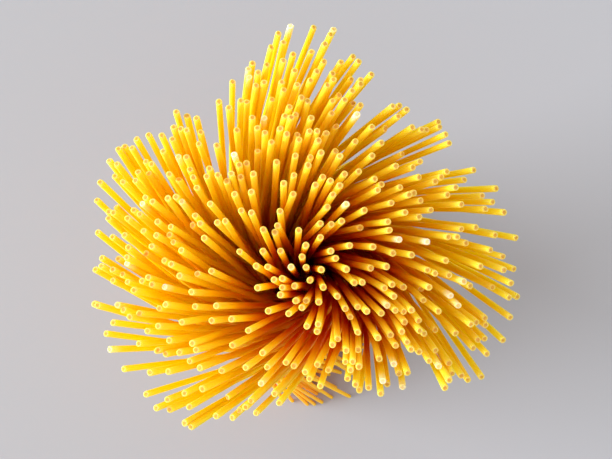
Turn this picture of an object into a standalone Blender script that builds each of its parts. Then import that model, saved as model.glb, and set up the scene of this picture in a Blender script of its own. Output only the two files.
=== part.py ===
# Bundle of dry spaghetti, standing on end: a tight handful of straight strands
# given one twist, so that it narrows at the waist and fans out at the foot and
# at the top. It is one solid out to its uneven outline. Metres, +Z up, the
# foot flat on z = 0 and the bundle's upright axis on x = y = 0.
from math import cos, exp, pi, radians, sin, sqrt

import bmesh
import bpy
from mathutils import Vector

NAME = "spaghetti_bundle"

# ---- driving dimensions ---------------------------------------------------
STRAND_LENGTH = 0.255        # one dry strand of spaghetti
STRAND_DIAMETER = 0.0019
TWIST = radians(108)         # turn of the foot against the top, seen from above
FAN_RADIUS = 0.0592          # outermost upper ends, mean
FAN_CENTRE = Vector((0.0, 0.0008))
FOOT_RADIUS = 0.0578         # outermost lower ends, mean
FOOT_CENTRE = Vector((0.0, 0.0017))

# Where the outline departs from round: azimuth, half width and reach of each
# place, and how square its shoulders are (2 is a soft hump, 4 a broad step).
FAN_LOBES = (
    (radians(82), radians(11), 0.0130, 2),    # the few long strays
    (radians(57), radians(5), -0.0060, 2),    # the notch beside them
    (radians(144), radians(17), 0.0080, 2),
    (radians(350), radians(22), 0.0040, 2),
    (radians(272), radians(38), -0.0240, 4),  # the short side of the fan
)
FOOT_LOBES = (
    (radians(277), radians(9), 0.0125, 2),    # two clumps that splay as legs
    (radians(257), radians(8), 0.0090, 2),
    (radians(325), radians(32), -0.0060, 2),
    (radians(60), radians(25), 0.0030, 2),
)

# ---- how finely the solid is cut ------------------------------------------
COLUMNS = 144                # straight lines of the side, ridge and groove by turns
LEVELS = 23                  # steps from the foot to the upper rim
DOME_RINGS = (0.94, 0.84, 0.72, 0.58, 0.43, 0.28, 0.14)
RIDGE = 0.45 * STRAND_DIAMETER
END_STEP = 0.0012            # how far the upper ends stand above one another


def wrapped(angle):
    """The same angle between minus and plus half a turn."""
    return (angle + pi) % (2 * pi) - pi


def outline(azimuth, mean, lobes):
    """Radius of an uneven outline at one azimuth."""
    reach = mean
    for centre, half_width, height, power in lobes:
        away = abs(wrapped(azimuth - centre)) / half_width
        reach += height * exp(-(away ** power))
    return reach


def upper_end(azimuth):
    """Where an outermost strand ends in the fan, seen from above."""
    reach = outline(azimuth, FAN_RADIUS, FAN_LOBES)
    return FAN_CENTRE + reach * Vector((cos(azimuth), sin(azimuth)))


def lower_end(azimuth):
    """Where the same strand stands on the ground, turned by the twist."""
    turned = azimuth + TWIST
    reach = outline(turned, FOOT_RADIUS, FOOT_LOBES)
    return FOOT_CENTRE + reach * Vector((cos(turned), sin(turned)))


def end_height(azimuth, share):
    """Height of an upper end: a strand that leans further ends lower."""
    lean = share * (upper_end(azimuth) - lower_end(azimuth)).length
    rise = sqrt(STRAND_LENGTH ** 2 - lean ** 2)
    ragged = sin(7 * azimuth + 9 * share) + sin(17 * azimuth + 1.3)
    return rise + END_STEP * 0.5 * share * ragged


def side_point(column, level):
    """A point of the side: every column is a straight line, as a strand is."""
    azimuth = 2 * pi * column / COLUMNS
    foot = lower_end(azimuth)
    tip = upper_end(azimuth)
    share = level / LEVELS
    flat = foot.lerp(tip, share)
    outward = (flat - FOOT_CENTRE.lerp(FAN_CENTRE, share)).normalized()
    flat = flat + outward * (RIDGE if column % 2 == 0 else 0.0)
    return Vector((flat.x, flat.y, share * end_height(azimuth, 1.0)))


def dome_point(column, share):
    """A point of the domed top, at a share of the way out to the rim."""
    azimuth = 2 * pi * column / COLUMNS
    flat = FAN_CENTRE.lerp(upper_end(azimuth), share)
    return Vector((flat.x, flat.y, end_height(azimuth, share)))


def extrude_ring(mesh, ring, place):
    """Extrude a closed ring of edges and put each new corner in its place."""
    column_of = mesh.verts.layers.int["column"]
    grown = bmesh.ops.extrude_edge_only(mesh, edges=ring)["geom"]
    corners = [item for item in grown if isinstance(item, bmesh.types.BMVert)]
    for corner in corners:
        corner.co = place(corner[column_of])
    moved = set(corners)
    edges = [item for item in grown if isinstance(item, bmesh.types.BMEdge)]
    return [edge for edge in edges if set(edge.verts) <= moved]


def bundle_solid():
    """Foot disc, twisted side, domed top: one closed body."""
    mesh = bmesh.new()
    column_of = mesh.verts.layers.int.new("column")
    disc = bmesh.ops.create_circle(
        mesh, cap_ends=True, cap_tris=False, segments=COLUMNS, radius=FOOT_RADIUS
    )
    for number, corner in enumerate(disc["verts"]):
        corner[column_of] = number
        corner.co = side_point(number, 0)
    ring = list(mesh.edges)
    for level in range(1, LEVELS + 1):
        ring = extrude_ring(mesh, ring, lambda column: side_point(column, level))
    for share in DOME_RINGS:
        ring = extrude_ring(mesh, ring, lambda column: dome_point(column, share))
    crown = bmesh.ops.extrude_edge_only(mesh, edges=ring)["geom"]
    middle = [item for item in crown if isinstance(item, bmesh.types.BMVert)]
    peak = Vector((FAN_CENTRE.x, FAN_CENTRE.y, STRAND_LENGTH))
    bmesh.ops.pointmerge(mesh, verts=middle, merge_co=peak)
    bmesh.ops.triangulate(mesh, faces=list(mesh.faces), quad_method="SHORT_EDGE")
    bmesh.ops.recalc_face_normals(mesh, faces=list(mesh.faces))
    return mesh


def pasta_material():
    """Dry durum-wheat pasta: dull amber yellow."""
    material = bpy.data.materials.new("dry_pasta")
    material.use_nodes = True
    shader = material.node_tree.nodes["Principled BSDF"]
    shader.inputs["Base Color"].default_value = (0.83, 0.48, 0.06, 1.0)
    shader.inputs["Roughness"].default_value = 0.5
    return material


def build():
    for thing in list(bpy.data.objects):
        bpy.data.objects.remove(thing, do_unlink=True)
    collection = bpy.data.collections.new(NAME)
    bpy.context.scene.collection.children.link(collection)
    body = bundle_solid()
    data = bpy.data.meshes.new(NAME)
    body.to_mesh(data)
    body.free()
    data.materials.append(pasta_material())
    collection.objects.link(bpy.data.objects.new(NAME, data))
    print(NAME, "triangles", len(data.polygons))


build()
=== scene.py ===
from math import pi, radians

import bmesh
import bpy
import numpy as np
from mathutils import Matrix, Vector


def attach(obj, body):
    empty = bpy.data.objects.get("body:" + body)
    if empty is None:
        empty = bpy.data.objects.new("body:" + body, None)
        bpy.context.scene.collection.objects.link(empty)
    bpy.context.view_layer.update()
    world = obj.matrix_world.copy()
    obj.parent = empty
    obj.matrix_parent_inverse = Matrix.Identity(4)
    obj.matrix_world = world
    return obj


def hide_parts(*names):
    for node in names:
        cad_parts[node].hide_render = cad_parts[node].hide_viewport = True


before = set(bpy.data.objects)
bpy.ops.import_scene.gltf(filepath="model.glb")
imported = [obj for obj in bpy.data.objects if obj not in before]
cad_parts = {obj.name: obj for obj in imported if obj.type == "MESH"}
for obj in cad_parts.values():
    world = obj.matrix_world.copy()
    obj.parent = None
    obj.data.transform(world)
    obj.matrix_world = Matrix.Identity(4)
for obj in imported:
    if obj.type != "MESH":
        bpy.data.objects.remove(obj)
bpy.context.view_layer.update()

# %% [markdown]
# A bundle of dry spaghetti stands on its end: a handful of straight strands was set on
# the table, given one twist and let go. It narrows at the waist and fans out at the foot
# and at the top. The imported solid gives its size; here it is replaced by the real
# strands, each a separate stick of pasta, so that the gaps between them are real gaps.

NODE = "spaghetti_bundle"
MM = 0.001

# %% [markdown]
# Colours are easiest to choose as sRGB hex values, as in any paint program, but Blender
# works in linear light. One function turns the first into the second.


# %% Colour helper
def paint(hex_value):
    """An sRGB hex colour as linear red, green, blue, alpha."""
    parts = [int(hex_value[i:i + 2], 16) / 255 for i in (1, 3, 5)]
    linear = [p / 12.92 if p <= 0.04045 else ((p + 0.055) / 1.055) ** 2.4 for p in parts]
    return (*linear, 1.0)


print("amber in linear light:", [round(c, 3) for c in paint("#E8B030")])

# %% [markdown]
# The bundle is looked straight down on from a quarter of a metre above its ends, so that
# the nearest ones are seen end on and the rest streak outward from them. A camera could be
# parented to an empty at the middle of the bundle; here it stands over the axis and is
# turned towards a point by code, which keeps it exact. It tips up by about three degrees,
# so that the end-on strands come a little below the middle of the frame.

# %% Camera
CAMERA_HEIGHT = 500 * MM
AIM = Vector((1.6 * MM, 12.3 * MM, 252 * MM))
FOCAL_MM = 53.9
SENSOR_MM = 36
NEAREST = 10 * MM

lens = bpy.data.cameras.new("camera")
lens.lens = FOCAL_MM
lens.sensor_width = SENSOR_MM
lens.clip_start = NEAREST
camera = bpy.data.objects.new("camera", lens)
camera.location = (0, 0, CAMERA_HEIGHT)
camera.rotation_euler = (AIM - camera.location).to_track_quat("-Z", "Y").to_euler()
bpy.context.scene.collection.objects.link(camera)
bpy.context.scene.camera = camera
print("camera above the ends by", round((CAMERA_HEIGHT - AIM.z) / MM), "mm")

# %% [markdown]
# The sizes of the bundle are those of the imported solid. A strand of spaghetti is 1.9 mm
# thick and 255 mm long. The handful was twisted by about a third of a turn.

# %% Sizes of the bundle
STRANDS = 450
LENGTH = 255 * MM
THICK = 1.9 * MM
TWIST = radians(114)
FAN_RADIUS = 58.8 * MM
FAN_CENTRE = np.array((0.0, 0.8 * MM))
FOOT_RADIUS = 54 * MM
FOOT_CENTRE = np.array((0.0, 1.7 * MM))
lean = np.degrees(np.arcsin(2 * FAN_RADIUS * np.sin(TWIST / 2) / LENGTH))
print("the outer strands lean by about", round(lean), "degrees")

# %% [markdown]
# Neither end of the bundle is a true circle. The fan has a long tuft, a notch, two broad
# lobes and one short side, and at the foot two clumps of strands splay like legs. Such an
# outline could be drawn as a curve; a circle with smooth bumps is easier to adjust, as each
# bump is one place on the real thing.

# %% The uneven outlines
# each place: azimuth and half width in degrees, reach in mm, squareness of its shoulders
FAN_LOBES = ((82, 12, 17, 2), (57, 4, -7, 2), (144, 17, 9, 2), (188, 14, 4, 2),
             (350, 22, 5, 2), (272, 38, -23, 4))
FOOT_LOBES = ((278, 8, 18, 2), (256, 5, 15, 2), (312, 22, -9, 2), (60, 25, 3, 2))
OUTLINE_STEPS = 721


def outline(azimuth, mean, lobes):
    """Radius of an uneven outline at many azimuths."""
    reach = np.full_like(azimuth, mean)
    for centre, half_width, height, power in lobes:
        away = (azimuth - radians(centre) + pi) % (2 * pi) - pi
        reach = reach + height * MM * np.exp(-np.abs(away / radians(half_width)) ** power)
    return reach


def around(azimuth):
    """Unit vectors in the ground plane, one for each azimuth."""
    return np.stack((np.cos(azimuth), np.sin(azimuth)), axis=-1)


turns = np.linspace(0, 2 * pi, OUTLINE_STEPS)
fan_reach = outline(turns, FAN_RADIUS, FAN_LOBES)
print("fan reaches", (fan_reach.min() / MM).round(), "to", (fan_reach.max() / MM).round(), "mm")

# %% [markdown]
# Every strand gets the place of its upper end first. The ends lie evenly over the fan but
# not in rows, so chance places them, and of two places drawn for each new end the one
# further from its neighbours is kept. A square root on the share of the way out keeps the
# middle from crowding. Geometry nodes could scatter points over a disc too, but not so
# simply with thin patches, crowded patches and tufts where the real handful has them.

# %% Where the upper ends are
CHOICES = 2
# each patch: azimuth in degrees, distance and radius in mm, how much thinner it is
PATCHES = ((175, 23, 15, 0.8), (222, 30, 12, 0.5), (315, 26, 14, -0.9), (86, 52, 14, -0.6),
           (172, 50, 16, -0.8), (0, 0, 8, -0.8))
# each set of tufts: how many there are, how strongly they draw strands in, where they start
TUFTS = ((13, 0.25, 20), (22, 0.25, 0))
dice = np.random.default_rng(48)


def bunch(azimuth, share):
    """Draw the strands together into tufts, the more so the further out they are."""
    for tufts, pull, start in TUFTS:
        azimuth = azimuth + pull * share ** 2 * np.sin(tufts * azimuth + radians(start)) / tufts
    return azimuth


swept = np.concatenate(((0.0,), np.cumsum(fan_reach[:-1] ** 2)))
upper = np.zeros((0, 2))
azimuths = np.zeros(STRANDS)
shares = np.zeros(STRANDS)
for number in range(STRANDS):
    azimuth = np.interp(dice.uniform(size=CHOICES), swept / swept[-1], turns)
    share = dice.uniform(size=CHOICES) ** 0.5
    azimuth = bunch(azimuth, share)
    reach = outline(azimuth, FAN_RADIUS, FAN_LOBES)
    spots = FAN_CENTRE + (share * reach)[:, None] * around(azimuth)
    room = np.full(CHOICES, LENGTH)
    if number:
        room = np.linalg.norm(spots[:, None] - upper[None], axis=2).min(axis=1)
    for where, distance, radius, thinner in PATCHES:
        middle = distance * MM * around(radians(where))
        in_patch = np.exp(-((spots - middle) ** 2).sum(axis=1) / (radius * MM) ** 2)
        room = room * (1 - thinner * in_patch)
    best = int(room.argmax())
    upper = np.vstack((upper, spots[best]))
    azimuths[number] = azimuth[best]
    shares[number] = share[best]
print("upper ends placed:", len(upper))

# %% [markdown]
# The lower end of a strand stands at the same share of the way out as its upper end, turned
# by the twist. No hand twists hundreds of sticks exactly: the core turns less than the
# rest, the ends land a little off their places, and two clumps of them are drawn together
# into legs. A few strands have snapped short.

# %% Where the lower ends are
CORE_SHARE = 0.2
CORE_TURN = 0.3
# each leg: azimuth and half width in degrees, how strongly it draws strands in
LEGS = ((278, 18, 0.75), (256, 9, 0.6))
LOWER_SCATTER = 4.5 * MM
END_LOOSENESS = 0.3
MID_LOOSENESS = 2.8
LENGTH_SCATTER = 1.2 * MM
BROKEN_SHARE = 0.06
BROKEN_LOSS = 14 * MM
LEAST_LOSS = 0.15

turned = azimuths + TWIST * np.clip(shares / CORE_SHARE, CORE_TURN, 1.0)
for where, half_width, draw in LEGS:
    away = (turned - radians(where) + pi) % (2 * pi) - pi
    turned -= draw * shares ** 2 * away * np.exp(-(away / radians(half_width)) ** 2)
foot_reach = shares * outline(turned, FOOT_RADIUS, FOOT_LOBES)
lower = FOOT_CENTRE + foot_reach[:, None] * around(turned)
loose = END_LOOSENESS + MID_LOOSENESS * shares * (1 - shares)
lower += dice.normal(0, LOWER_SCATTER, (STRANDS, 2)) * loose[:, None]
lengths = LENGTH + dice.normal(0, LENGTH_SCATTER, STRANDS)
broken = dice.uniform(size=STRANDS) < BROKEN_SHARE
lengths[broken] -= dice.uniform(LEAST_LOSS, 1.0, broken.sum()) * BROKEN_LOSS
print(STRANDS, "strands,", broken.sum(), "of them snapped short")

# %% [markdown]
# Placed like that, many strands would run through one another at the waist, which real ones
# cannot. To mend this the script has to know where two leaning sticks pass closest, and
# where each strand is, given the places of its two ends.

# %% How close two strands pass
NEARLY_ZERO = 1e-9


def closest(c1, u1, h1, c2, u2, h2):
    """Where along two sets of sticks each pair passes closest, from middles, ways, halves."""
    gap = c1 - c2
    b = (u1 * u2).sum(axis=1)
    d = (u1 * gap).sum(axis=1)
    e = (u2 * gap).sum(axis=1)
    s = np.clip((b * e - d) / np.maximum(1 - b * b, NEARLY_ZERO), -h1, h1)
    t = np.clip(b * s + e, -h2, h2)
    s = np.clip(b * t - d, -h1, h1)
    return s, t, gap + s[:, None] * u1 - t[:, None] * u2


def stand(upper, lower):
    """Middle and direction of every strand, each standing on its lower end."""
    lean = upper - lower
    ways = np.column_stack((lean, np.sqrt(lengths ** 2 - (lean ** 2).sum(axis=1))))
    middles = np.column_stack((lower, np.zeros(STRANDS))) + ways / 2
    return middles, ways / lengths[:, None]


middles, ways = stand(upper, lower)
print("mean lean:", np.degrees(np.arccos(ways[:, 2])).mean().round(1), "degrees")

# %% [markdown]
# Now the strands are settled: wherever the axes of two of them pass closer than their
# thickness, the two are pushed apart there, over and over, until they only touch. The
# upper ends are held nearly still at first and the lower ends slide on the table. Blender's
# rigid bodies could do this too, but hundreds of thin leaning sticks would take them
# minutes, and the twist would slip.

# %% Settle the strands against one another
CLEAR = 1.03 * THICK
ROUNDS = 600
LOOK_AGAIN = 20
NEIGHBOURS = 2.4 * CLEAR
HELD_ROUNDS = 0.6 * ROUNDS
HELD_GIVE = 0.15
FREE_GIVE = 0.5
HOLD = 0.05
EASE = 0.7
STIFFNESS = 0.02
TOUCHING = 1e-7

held_places = upper.copy()
first, second = np.triu_indices(STRANDS, 1)
for turn in range(ROUNDS):
    held = turn < HELD_ROUNDS
    give = HELD_GIVE if held else FREE_GIVE
    middles, ways = stand(upper, lower)
    if turn % LOOK_AGAIN == 0:
        gap = closest(middles[first], ways[first], lengths[first] / 2,
                      middles[second], ways[second], lengths[second] / 2)[2]
        near = np.linalg.norm(gap, axis=1) < NEIGHBOURS
        one, two = first[near], second[near]
    s, t, gap = closest(middles[one], ways[one], lengths[one] / 2,
                        middles[two], ways[two], lengths[two] / 2)
    apart = np.linalg.norm(gap, axis=1)
    hit = apart < CLEAR
    push = gap[hit, :2] * ((CLEAR / np.maximum(apart[hit], TOUCHING) - 1) / 2)[:, None]
    shift_up = np.zeros((STRANDS, 2))
    shift_low = np.zeros((STRANDS, 2))
    count = np.zeros(STRANDS)
    for who, arm, sign in ((one[hit], s[hit], 1), (two[hit], t[hit], -1)):
        high = 0.5 + arm / lengths[who]
        weight = high ** 2 * give + (1 - high) ** 2 + STIFFNESS
        np.add.at(shift_up, who, sign * push * (high * give / weight)[:, None])
        np.add.at(shift_low, who, sign * push * ((1 - high) / weight)[:, None])
        np.add.at(count, who, 1)
    ease = EASE / np.sqrt(np.maximum(count, 1))[:, None]
    upper = upper + shift_up * ease
    lower = lower + shift_low * ease
    if held:
        upper = upper + HOLD * (held_places - upper)
print("deepest overlap left:", round((THICK - apart.min()) / MM, 3), "mm")

# %% [markdown]
# A leaning stick rests on the lower edge of its square end, not on the middle of it. So
# each strand slides along its own axis until its lowest point is on the table.

# %% Stand the strands on the table
CROWD = 97

middles, ways = stand(upper, lower)
feet = middles - ways * lengths[:, None] / 2
side_drop = THICK / 2 * np.sqrt(1 - ways[:, 2] ** 2)
feet += ways * ((side_drop - feet[:, 2]) / ways[:, 2])[:, None]
tips = feet + lengths[:, None] * ways
waist_radius = np.linalg.norm(middles[:, :2] - middles[:, :2].mean(axis=0), axis=1)
print("waist radius", round(np.percentile(waist_radius, CROWD) / MM, 1), "mm")
print("upper ends from", (tips.min(axis=0) / MM).round(), "to", (tips.max(axis=0) / MM).round())

# %% [markdown]
# One strand is modelled once, upright. A bevelled curve would give a round stick too, but
# not the detail of its ends, so it starts as a ten-sided cone with equal ends, cut through
# at half its length so that it can bow a little. It is repeated hundreds of times, so it
# stays at a few dozen faces. Its ends are sawn square, with an edge that has crumbled round,
# which a bevel makes.

# %% The stick and its crumbled edges
SIDES = 10
EDGE = 0.17 * MM
BODY, UPPER_END, LOWER_END = 0, 1, 2


def end_disc(stick, height):
    """The flat disc that closes one end of the stick."""
    discs = [f for f in stick.faces if len(f.verts) == SIDES]
    return min(discs, key=lambda f: abs(f.calc_center_median().z - height))


stick = bmesh.new()
region = stick.faces.layers.int.new("region")
cut = stick.verts.layers.float.new("cut")
bmesh.ops.create_cone(stick, cap_ends=True, segments=SIDES, radius1=THICK / 2,
                      radius2=THICK / 2, depth=LENGTH,
                      matrix=Matrix.Translation((0, 0, LENGTH / 2)))
bmesh.ops.bisect_plane(stick, geom=stick.verts[:] + stick.edges[:] + stick.faces[:],
                       plane_co=(0, 0, LENGTH / 2), plane_no=(0, 0, 1))
edges = [e for h in (0, LENGTH) for e in end_disc(stick, h).edges]
rounded = bmesh.ops.bevel(stick, geom=edges, offset=EDGE, offset_type="OFFSET",
                          segments=1, profile=0.5, affect="EDGES", material=-1)
for face in rounded["faces"]:
    face[region] = UPPER_END if face.calc_center_median().z > LENGTH / 2 else LOWER_END
for edge in stick.edges:
    sides = {f[region] for f in edge.link_faces}
    edge.smooth = len(sides) == 1 or BODY not in sides
print("stick with rounded edges:", len(stick.faces), "faces")

# %% [markdown]
# The middle of each upper end has sunk a little as the pasta dried. An inset makes a rim on
# the end disc, and a second inset that is pushed in makes the dimple. A value on the
# corners says how far into the cut each lies: none on the side, half on the edge, all in
# the dimple. The finish reads it later.

# %% The dimple in the upper end
RIM = 0.15 * MM
DIMPLE_WALL = 0.20 * MM
DIMPLE_DEPTH = 0.12 * MM
AT_EDGE, ON_RIM, IN_DIMPLE = 0.5, 0.6, 1.0

top = end_disc(stick, LENGTH)
bottom = end_disc(stick, 0)
bottom[region] = LOWER_END
top[region] = UPPER_END
for corner in top.verts[:] + bottom.verts[:]:
    corner[cut] = AT_EDGE
ring = bmesh.ops.inset_region(stick, faces=[top], thickness=RIM, depth=0)
for corner in top.verts:
    corner[cut] = ON_RIM
bowl = bmesh.ops.inset_region(stick, faces=[top], thickness=DIMPLE_WALL, depth=-DIMPLE_DEPTH)
for face in ring["faces"] + bowl["faces"]:
    face[region] = UPPER_END
for corner in top.verts:
    corner[cut] = IN_DIMPLE
for face in stick.faces:
    face.smooth = True
bmesh.ops.recalc_face_normals(stick, faces=stick.faces[:])
print("stick with its dimple:", len(stick.faces), "faces,", len(stick.verts), "corners")

# %% [markdown]
# A baked picture of the finish needs a place on a map for every face.
# Smart UV Project could find one, but it would treat every strand on its own and take long.
# A stick unrolls by itself: its side is a strip, and each end a disc.

# %% Unroll the stick
chart = stick.loops.layers.uv.new("OFBake")
for face in stick.faces:
    middle = face.calc_center_median()
    for loop in face.loops:
        spot = loop.vert.co
        if face[region] == BODY:
            turn = np.arctan2(middle.y, middle.x) / (2 * pi) % 1
            away = np.arctan2(spot.y, spot.x) / (2 * pi) - turn
            loop[chart].uv = (spot.z / LENGTH, turn + (away + 0.5) % 1 - 0.5)
        else:
            loop[chart].uv = (0.5 + spot.x / THICK, 0.5 + spot.y / THICK)

mold = bpy.data.meshes.new("strand_mold")
stick.to_mesh(mold)
stick.free()
print("unrolled:", mold.uv_layers.keys())

# %% [markdown]
# All the strands share one map. The strips stand in two columns on its left, the upper ends
# in small cells beside them and the lower ends, which nobody sees, in smaller ones.

# %% A seat on the map for each strand
MAP_DOTS = 1024
DOT = 1 / MAP_DOTS
STRIP_ROWS = 250
STRIP_PITCH, STRIP_HIGH, STRIP_GAP = 4 * DOT, 3 * DOT, 2 * DOT
END_CELL, FOOT_CELL = 12, 6
END_ROWS, FOOT_ROWS = MAP_DOTS // END_CELL, MAP_DOTS // FOOT_CELL
ends_wide = -(-STRANDS // END_ROWS) * END_CELL * DOT
feet_wide = -(-STRANDS // FOOT_ROWS) * FOOT_CELL * DOT
strips_wide = (1 - ends_wide - feet_wide) / -(-STRANDS // STRIP_ROWS)


def seat_on_map(number):
    """Corner and size, on the bake map, of a strand's side, upper and lower end."""
    column, row = divmod(number, STRIP_ROWS)
    side = ((column * strips_wide, row * STRIP_PITCH), (strips_wide - STRIP_GAP, STRIP_HIGH))
    column, row = divmod(number, END_ROWS)
    end = ((1 - ends_wide - feet_wide + column * END_CELL * DOT, row * END_CELL * DOT),
           ((END_CELL - 1) * DOT,) * 2)
    column, row = divmod(number, FOOT_ROWS)
    foot = ((1 - feet_wide + column * FOOT_CELL * DOT, row * FOOT_CELL * DOT),
            ((FOOT_CELL - 1) * DOT,) * 2)
    return {BODY: side, UPPER_END: end, LOWER_END: foot}


print("last seat:", seat_on_map(STRANDS - 1))

# %% [markdown]
# No two strands are quite alike. They bow by up to a millimetre or so, their section is
# not quite round, and the saw goes through them a few degrees off square. Most of those
# that have snapped keep a slanting end. Each also has its own tone, as it dried, and a few
# are floury. One draw for each keeps the dice in step from run to run.

# %% What differs from strand to strand
BOW = 0.7 * MM
OVAL = 0.03
SAW_SLANT = 0.10
SNAP_SLANT = 0.55
SLANTING_SHARE = 0.6

bows = dice.normal(0, BOW / 2, (STRANDS, 2))
ovals = 1 + dice.normal(0, OVAL, (STRANDS, 2))
slants = dice.normal(0, SAW_SLANT, (STRANDS, 2))
snapped = broken & (dice.uniform(size=STRANDS) < SLANTING_SHARE)
slants[snapped] = dice.normal(0, SNAP_SLANT, (snapped.sum(), 2))
rolls = dice.uniform(0, 2 * pi, STRANDS)
tones = dice.uniform(0, 1, STRANDS)
floury = dice.uniform(0, 1, STRANDS)
print("widest bow:", (np.abs(bows).max() / MM).round(2), "mm; slanting ends:", snapped.sum())

# %% [markdown]
# The shape of each strand comes from the mold: made oval, slanted at the top, lengthened
# or shortened, and bowed. Its middle ring keeps to the middle, so that the bow is even.

# %% The shape of one strand
TOP_FROM = 0.6
MIDDLE_FROM = 0.4

mold_spots = np.array([v.co[:] for v in mold.vertices])
height_share = np.clip(mold_spots[:, 2] / LENGTH, 0, 1)
near_top = mold_spots[:, 2] > TOP_FROM * LENGTH
midway = (height_share > MIDDLE_FROM) & (height_share < TOP_FROM)


def shaped(number):
    """The corners of one strand, still upright on the Z axis."""
    spots = mold_spots.copy()
    spots[:, :2] *= ovals[number]
    spots[near_top, 2] += spots[near_top, :2] @ slants[number]
    spots[near_top, 2] += lengths[number] - LENGTH
    spots[midway, 2] = lengths[number] / 2
    spots[:, :2] += bows[number] * (4 * height_share * (1 - height_share))[:, None]
    return spots


def leaning(number):
    """The turn and move that set one strand on its foot in the bundle."""
    lean = Vector(ways[number]).to_track_quat("Z", "Y").to_matrix().to_4x4()
    roll = Matrix.Rotation(rolls[number], 4, "Z")
    return Matrix.Translation(Vector(feet[number])) @ lean @ roll


print("top of the first strand:", (shaped(0)[:, 2].max() / MM).round(1), "mm")

# %% [markdown]
# Hundreds of objects that share one mesh would be the light way to repeat a stick, but then
# none could bow or slant on its own, and nothing in the bundle moves. So all strands are
# joined into one mesh. Each corner also carries what the finish needs: the strand's tone
# and flouriness, the distance from its tip, and the place in the strand's own grain.

# %% All the strands as one piece
GRAIN_STEP = 3 * THICK

heap = bmesh.new()
tone_of = heap.verts.layers.float.new("tone")
from_tip_of = heap.verts.layers.float.new("from_tip")
floury_of = heap.verts.layers.float.new("floury")
grain_of = heap.verts.layers.float_vector.new("grain")
for number in range(STRANDS):
    start_corner, start_face = len(heap.verts), len(heap.faces)
    heap.from_mesh(mold)
    heap.verts.ensure_lookup_table()
    heap.faces.ensure_lookup_table()
    place = leaning(number)
    for corner, spot in zip(heap.verts[start_corner:], shaped(number)):
        corner.co = place @ Vector(spot)
        corner[tone_of] = tones[number]
        corner[from_tip_of] = max(0.0, lengths[number] - spot[2])
        corner[floury_of] = floury[number]
        corner[grain_of] = (spot[0] + GRAIN_STEP * number, spot[1], spot[2])
    region = heap.faces.layers.int["region"]
    chart = heap.loops.layers.uv["OFBake"]
    seats = seat_on_map(number)
    for face in heap.faces[start_face:]:
        (left, bottom), (wide, high) = seats[face[region]]
        for loop in face.loops:
            u, v = loop[chart].uv
            loop[chart].uv = (left + u * wide, bottom + v * high)
data = bpy.data.meshes.new("spaghetti_strands")
heap.to_mesh(data)
heap.free()
strands = bpy.data.objects.new("spaghetti_strands", data)
bpy.context.scene.collection.objects.link(strands)
print("all strands:", len(data.polygons), "faces,", data.attributes.keys())

# %% [markdown]
# Dry durum-wheat pasta is extruded through a smooth die and dried until it is like horn:
# amber, a little see-through, with a dull sheen. Its finish is a graph of nodes on the
# Principled shader. Such a graph can be wired by hand in the shader editor; in code one
# small function does it, given a node's kind, its settings and its inputs, each of which is
# a value or another node's output.

# %% Start of the pasta finish
pasta = bpy.data.materials.new("extruded_durum_pasta")
pasta.use_nodes = True
tree = pasta.node_tree
shader = tree.nodes["Principled BSDF"]


def add(kind, settings, inputs):
    """Add one node to the finish, with its settings and its inputs."""
    node = tree.nodes.new(kind)
    for name, value in settings.items():
        setattr(node, name, value)
    for name, value in inputs.items():
        if isinstance(value, bpy.types.NodeSocket):
            tree.links.new(value, node.inputs[name])
        else:
            node.inputs[name].default_value = value
    return node


carried = {}
for name in ("tone", "from_tip", "floury", "cut"):
    carried[name] = add("ShaderNodeAttribute", {"attribute_name": name}, {}).outputs["Fac"]
grown = add("ShaderNodeAttribute", {"attribute_name": "grain"}, {}).outputs["Vector"]
print("finish reads:", list(carried))

# %% [markdown]
# The die draws everything out along the strand, so its patterns are many times longer than
# they are wide. An image could hold them, but noise stretched in the strand's own directions
# has no end and no seam. The cloudy amber patches are a little wider than the strand, and
# the crumbs of the sawn ends are semolina grains of about a sixth of a millimetre. The lines
# that the die draws are finer than a hair in truth; a third of a millimetre is as fine as
# shows from a quarter of a metre away, so they are drawn that coarse.

# %% Patterns in the pasta
# each pattern: its size across and along the strand, and how many finer layers it has
GRAINS = {"cloud": (2.5 * MM, 22 * MM, 2), "streak": (0.3 * MM, 9 * MM, 3),
          "polish": (0.3 * MM, 6 * MM, 3), "draw_line": (0.25 * MM, 12 * MM, 3),
          "crumb": (0.16 * MM, 0.2 * MM, 2)}

pattern = {}
for name, (across, along, detail) in GRAINS.items():
    size = (1 / across, 1 / across, 1 / along)
    own = add("ShaderNodeVectorMath", {"operation": "MULTIPLY"}, {0: grown, 1: size})
    noise = add("ShaderNodeTexNoise", {},
                {"Vector": own.outputs["Vector"], "Scale": 1.0, "Detail": detail})
    pattern[name] = noise.outputs["Fac"]
print("patterns:", list(pattern))

# %% [markdown]
# Light that enters a strand comes out again deeper in colour, and between the strands it
# does so over and over, until the gaps glow orange and then red-brown. The subsurface light
# of the shader does a part of this. The rest is painted shade: the inside of the bundle's
# upper third, away from its skin, is painted a redder colour, a heart of painted shade, set
# off the axis on the side away from the window. How far inside a spot is comes from its
# distance to the axis, measured against an hourglass.

# %% How far inside the bundle, for its painted shade
# the middle of the painted shade, off the axis on the side away from the window
SHADE_HEART = (11 * MM, -9 * MM, 0)
WAIST = 30 * MM

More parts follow.
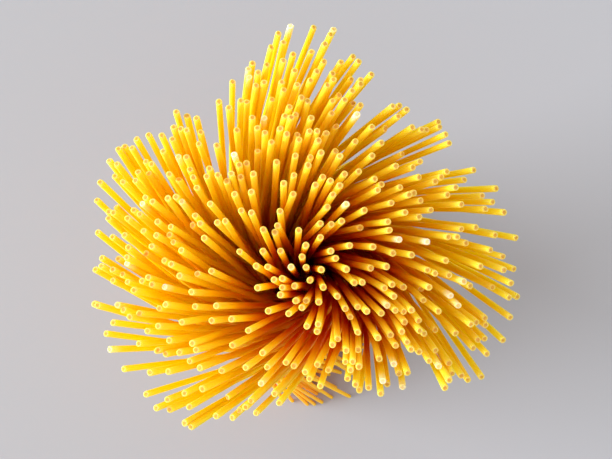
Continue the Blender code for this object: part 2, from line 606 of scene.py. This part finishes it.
where = add("ShaderNodeTexCoord", {}, {}).outputs["Object"]
axes = add("ShaderNodeSeparateXYZ", {}, {"Vector": where}).outputs
flat = add("ShaderNodeCombineXYZ", {}, {"X": axes["X"], "Y": axes["Y"]}).outputs["Vector"]
above = add("ShaderNodeMath", {"operation": "SUBTRACT"}, {0: axes["Z"], 1: LENGTH / 2})
from_waist = add("ShaderNodeMath", {"operation": "ABSOLUTE"}, {0: above.outputs["Value"]})
hourglass = add("ShaderNodeMapRange", {"interpolation_type": "SMOOTHSTEP"},
                {"Value": from_waist.outputs["Value"], "From Min": 0.0, "From Max": LENGTH / 2,
                 "To Min": WAIST, "To Max": FAN_RADIUS}).outputs["Result"]
to_shade_heart = add("ShaderNodeVectorMath", {"operation": "DISTANCE"}, {0: flat, 1: SHADE_HEART})
to_axis = add("ShaderNodeVectorMath", {"operation": "LENGTH"}, {0: flat})
way_out = {}
for name, node in (("painted_shade_heart", to_shade_heart), ("skin", to_axis)):
    way_out[name] = add("ShaderNodeMath", {"operation": "DIVIDE"},
                        {0: node.outputs["Value"], 1: hourglass}).outputs["Value"]
print("hourglass from", round(WAIST / MM), "mm at the waist to", round(FAN_RADIUS / MM, 1), "mm")

# %% [markdown]
# Each tint of the finish fades in or out with something: a pattern, the distance from the
# tip, the cut or the flouriness. A colour ramp is the usual way; a Map Range with smooth
# ends does the same with plain numbers, so all the fades can stand in one list.

# %% Where each tint shows
# each fade: what it follows, from where to where, and how strong it is at each
FADES = {"clouds": (pattern["cloud"], 0.45, 0.7, 0.0, 0.45),
         "streaks": (pattern["streak"], 0.5, 0.75, 0.0, 0.25),
         # painted shade: deeper amber further down the strand, where less light comes back out
         "painted_shade_lower": (carried["from_tip"], 30 * MM, 120 * MM, 0.0, 0.9),
         # painted light: paler near the tip, where the light reaches
         "tip": (carried["from_tip"], 0.0, 20 * MM, 0.5, 0.0),
         # painted shade: these four fades place the redder heart inside the bundle's upper third
         "central": (way_out["painted_shade_heart"], 0.25, 0.95, 1.0, 0.0),
         "inside": (way_out["skin"], 0.45, 0.85, 1.0, 0.0),
         "under_tips": (carried["from_tip"], 0.0, 45 * MM, 0.0, 1.0),
         "upper_third": (carried["from_tip"], 90 * MM, 140 * MM, 1.0, 0.3),
         "crumbs": (pattern["crumb"], 0.52, 0.66, 0.0, 1.0),
         "crumbs_near_cut": (carried["from_tip"], 0.0, 3 * MM, 0.6, 0.0),
         "chalky": (carried["floury"], 0.92, 0.98, 0.0, 1.0),
         "chalk_near_cut": (carried["from_tip"], 1 * MM, 6 * MM, 0.7, 0.0),
         "cut": (carried["cut"], 0.05, 0.45, 0.0, 1.0),
         "dimple": (carried["cut"], 0.62, 0.95, 0.0, 1.0),
         "roughness": (pattern["polish"], 0.3, 0.7, 0.38, 0.6)}
# tints that need two fades at once
# the first three make the painted shade of the bundle's heart
BOTH = {"shade_sides": ("central", "inside"), "shade_height": ("under_tips", "upper_third"),
        "painted_shade_heart": ("shade_sides", "shade_height"), "side_crumbs": ("crumbs", "crumbs_near_cut"),
        "side_chalk": ("chalky", "chalk_near_cut"), "rough_cut": ("crumbs", "cut")}

fade = {}
for name, (follows, start, end, low, high) in FADES.items():
    node = add("ShaderNodeMapRange", {"interpolation_type": "SMOOTHSTEP"},
               {"Value": follows, "From Min": start, "From Max": end,
                "To Min": low, "To Max": high})
    fade[name] = node.outputs["Result"]
for name, (one_fade, other_fade) in BOTH.items():
    node = add("ShaderNodeMath", {"operation": "MULTIPLY"},
               {0: fade[one_fade], 1: fade[other_fade]})
    fade[name] = node.outputs["Value"]
print(len(fade), "fades")

# %% [markdown]
# The colours lie over one another like glazes, each a Mix node over the one before. The
# side of a strand is golden, with amber clouds and lighter drawn streaks. Further down it is
# painted a deeper amber, as painted shade, where less light comes back out; in the bundle's
# heart it is painted a redder orange, as painted shade; and right at the tip it is painted
# paler, as painted light where the light reaches. The sawn ends are rough and floury, so
# they scatter the light back pale, and dull gold in the dimple; their cream and gold are
# painted somewhat darker than the cut's own colour, as painted shade on ends that face up,
# away from the low window.

# %% Colours of the pasta
UNDER, OVER, MIXED = 6, 7, 2  # the colour sockets of a Mix node, which share their names

glazes = {
    # painted shade: #FFB228 further down and #F07000 in the heart; painted light: #FFDC54 near
    # the tip
    "side": ("#FFE80E", ((carried["tone"], "#FFDA08"), (fade["clouds"], "#FFBE00"),
                         (fade["streaks"], "#FFE258"), (fade["painted_shade_lower"], "#FFB228"),
                         (fade["painted_shade_heart"], "#F07000"), (fade["tip"], "#FFDC54"),
                         (fade["side_crumbs"], "#FFF3CC"), (fade["side_chalk"], "#FFF6DC"))),
    # the ends' cream and gold are painted somewhat darker than the cut's own colour, as painted
    # shade on ends that face up, away from the low window
    "rim": ("#DFC06A", ((fade["chalky"], "#F4EBCE"),)),
    "hollow": ("#CCA346", ((fade["chalky"], "#E8DAAC"),))}
finished = {}
for name, (ground, layers) in glazes.items():
    colour = paint(ground)
    for share, glaze in layers:
        mix = add("ShaderNodeMix", {"data_type": "RGBA"},
                  {"Factor": share, UNDER: colour, OVER: paint(glaze)})
        colour = mix.outputs[MIXED]
    finished[name] = colour
print("glazes:", {name: len(layers) for name, (ground, layers) in glazes.items()})

# %% [markdown]
# The end is put together from rim and hollow, dusted with flour, and then takes the place of
# the side's colour wherever the cut is.

# %% Side and end together
FLOUR = 0.35

flour = add("ShaderNodeMapRange", {"interpolation_type": "SMOOTHSTEP"},
            {"Value": fade["crumbs"], "From Min": 0.0, "From Max": 1.0,
             "To Min": 0.0, "To Max": FLOUR}).outputs["Result"]
end = finished["rim"]
for share, over in ((fade["dimple"], finished["hollow"]), (flour, paint("#F2DFA8"))):
    end = add("ShaderNodeMix", {"data_type": "RGBA"},
              {"Factor": share, UNDER: end, OVER: over}).outputs[MIXED]
whole = add("ShaderNodeMix", {"data_type": "RGBA"},
            {"Factor": fade["cut"], UNDER: finished["side"], OVER: end})
tree.links.new(whole.outputs[MIXED], shader.inputs["Base Color"])
print("nodes so far:", len(tree.nodes))

# %% [markdown]
# The die leaves the side smooth but for faint lines, and it dries to a dull, uneven sheen.
# A few hundredths of a millimetre of relief are felt rather than seen, so they are a bump,
# not geometry. Starch and protein bend light about as glass does, so the IOR is 1.5, but the
# floury skin breaks up the shine. To the eye the finish is soft and warm: hardly a highlight,
# and light that travels some millimetres inside, red furthest and blue least.

# %% Surface of the pasta
RELIEF = 0.04 * MM
GLOW_DEPTH = 3 * MM

tree.links.new(fade["roughness"], shader.inputs["Roughness"])
height = add("ShaderNodeMath", {"operation": "ADD"},
             {0: pattern["draw_line"], 1: fade["rough_cut"]})
relief = add("ShaderNodeBump", {},
             {"Strength": 0.5, "Distance": RELIEF, "Height": height.outputs["Value"]})
tree.links.new(relief.outputs["Normal"], shader.inputs["Normal"])
shader.inputs["IOR"].default_value = 1.5
shader.inputs["Specular IOR Level"].default_value = 0.06
shader.inputs["Subsurface Weight"].default_value = 0.9
shader.inputs["Subsurface Radius"].default_value = (1.0, 0.8, 0.2)
shader.inputs["Subsurface Scale"].default_value = GLOW_DEPTH
data.materials.append(pasta)
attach(strands, "root")
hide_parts(NODE)
print("finish:", pasta.name, "with", len(tree.nodes), "nodes")

# %% [markdown]
# The bundle stands on a plain table of pale honed stone, which gives the eye an even grey
# without any shine. A plane so wide that its edge is the horizon needs no backdrop.

# %% Table
TABLE_SIZE = 60.0

table_shape = bmesh.new()
bmesh.ops.create_grid(table_shape, x_segments=1, y_segments=1, size=TABLE_SIZE / 2)
table_mesh = bpy.data.meshes.new("table")
table_shape.to_mesh(table_mesh)
table_shape.free()
table = bpy.data.objects.new("table", table_mesh)
bpy.context.scene.collection.objects.link(table)
stone = bpy.data.materials.new("honed_pale_stone")
stone.use_nodes = True
stone_shader = stone.node_tree.nodes["Principled BSDF"]
stone_shader.inputs["Base Color"].default_value = paint("#A4A8B3")
stone_shader.inputs["Roughness"].default_value = 0.8
table_mesh.materials.append(stone)
print("table:", TABLE_SIZE, "m wide")

# %% [markdown]
# A large window low on the left lights the bundle, and the pale walls of the room fill in
# from all round. An area lamp would have to stand close to be this soft, and would show as
# a bright patch on the table; a sun lamp of a wide angle is as soft and even everywhere.
# The light bounces many times between the strands before it gets out, so the number of
# bounces is kept high, and the plain Standard view keeps the yellow as strong as it is.

# %% Light
WINDOW_SHINES = (1.0, -0.14, -0.37)
WINDOW_WIDTH = radians(44)
WINDOW_STRENGTH = 4.6
ROOM_STRENGTH = 0.98

world = bpy.data.worlds.new("room")
world.use_nodes = True
walls = world.node_tree.nodes["Background"]
walls.inputs["Color"].default_value = paint("#FFF8EE")
walls.inputs["Strength"].default_value = ROOM_STRENGTH
bpy.context.scene.world = world

lamp = bpy.data.lights.new("window", "SUN")
lamp.energy = WINDOW_STRENGTH
lamp.angle = WINDOW_WIDTH
lamp.color = paint("#FFFDF8")[:3]
window = bpy.data.objects.new("window", lamp)
window.rotation_euler = Vector(WINDOW_SHINES).to_track_quat("-Z", "Y").to_euler()
bpy.context.scene.collection.objects.link(window)
bpy.context.scene.view_settings.view_transform = "Standard"
bpy.context.scene.cycles.max_bounces = 12
bpy.context.scene.cycles.diffuse_bounces = 9
print("window", WINDOW_STRENGTH, "and room", ROOM_STRENGTH)
